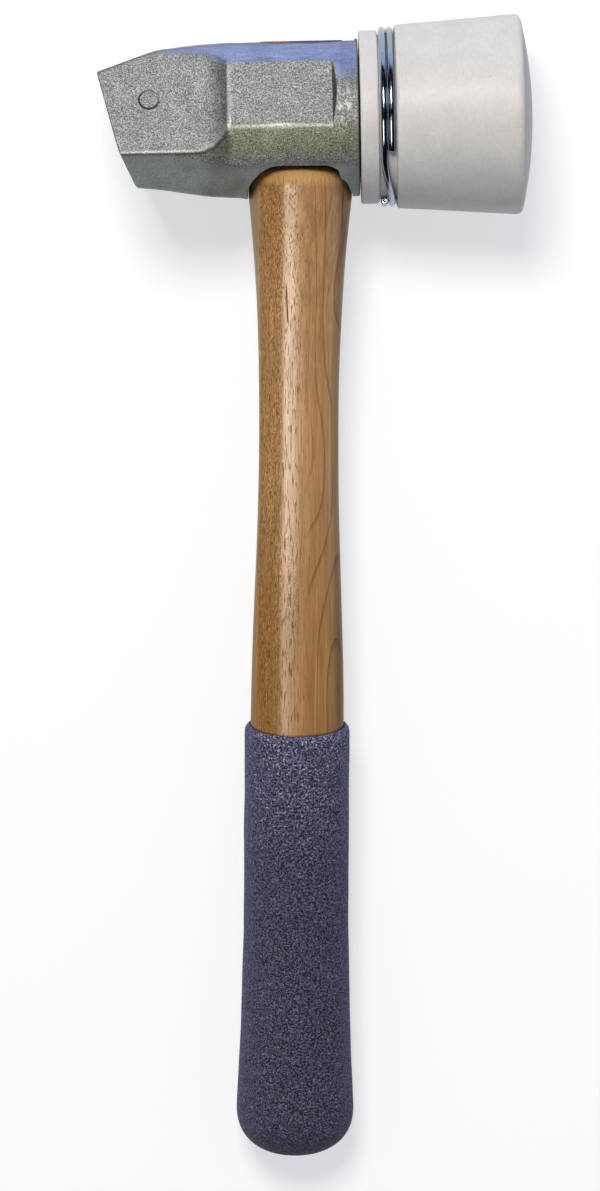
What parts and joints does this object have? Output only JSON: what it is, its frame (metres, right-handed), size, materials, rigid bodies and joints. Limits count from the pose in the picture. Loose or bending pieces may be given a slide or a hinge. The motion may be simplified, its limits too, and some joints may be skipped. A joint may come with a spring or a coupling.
{
  "type": "flooring mallet",
  "caption": "Striking mallet with a cast steel poll block, a domed rubber cap held by a wire ring, an oval wooden handle and a foam grip sleeve.",
  "frame": {"origin": "on the handle's axis at the middle of the grip sleeve, where the hand holds it", "axes": "+X along the head towards the rubber cap (square to the handle), +Y up the handle towards the head, +Z out of the flat side of the tool"},
  "size_m": [0.1418, 0.3821, 0.0654],
  "materials": {
    "cast_steel": "as cast and shot blasted, grey",
    "handle_wood": "varnished hickory",
    "wedge_wood": "bare hardwood",
    "wedge_steel": "driven and ground flush",
    "grip_foam": "matt grained foam, dark blue grey",
    "cap_rubber": "smooth off-white rubber",
    "ring_wire": "bright plated spring wire"
  },
  "bodies": {
    "mallet": {"head": "cast_steel", "handle": "handle_wood", "wooden_wedge": "wedge_wood", "steel_wedge_poll_side": "wedge_steel", "steel_wedge_cap_side": "wedge_steel", "grip_sleeve": "grip_foam"},
    "cap": {"rubber_cap": "cap_rubber"},
    "ring": {"wire_ring": "ring_wire"}
  },
  "joints": [
    {"name": "cap_pull", "type": "slide", "parent": "mallet", "child": "cap", "axis": [0.9997, 0.0262, 0], "range_m": [0, 0.045]},
    {"name": "ring_turn", "type": "hinge", "parent": "cap", "child": "ring", "pos_m": [0.02819, 0.27674, 0], "axis": [0.9997, 0.0262, 0], "continuous": true}
  ]
}
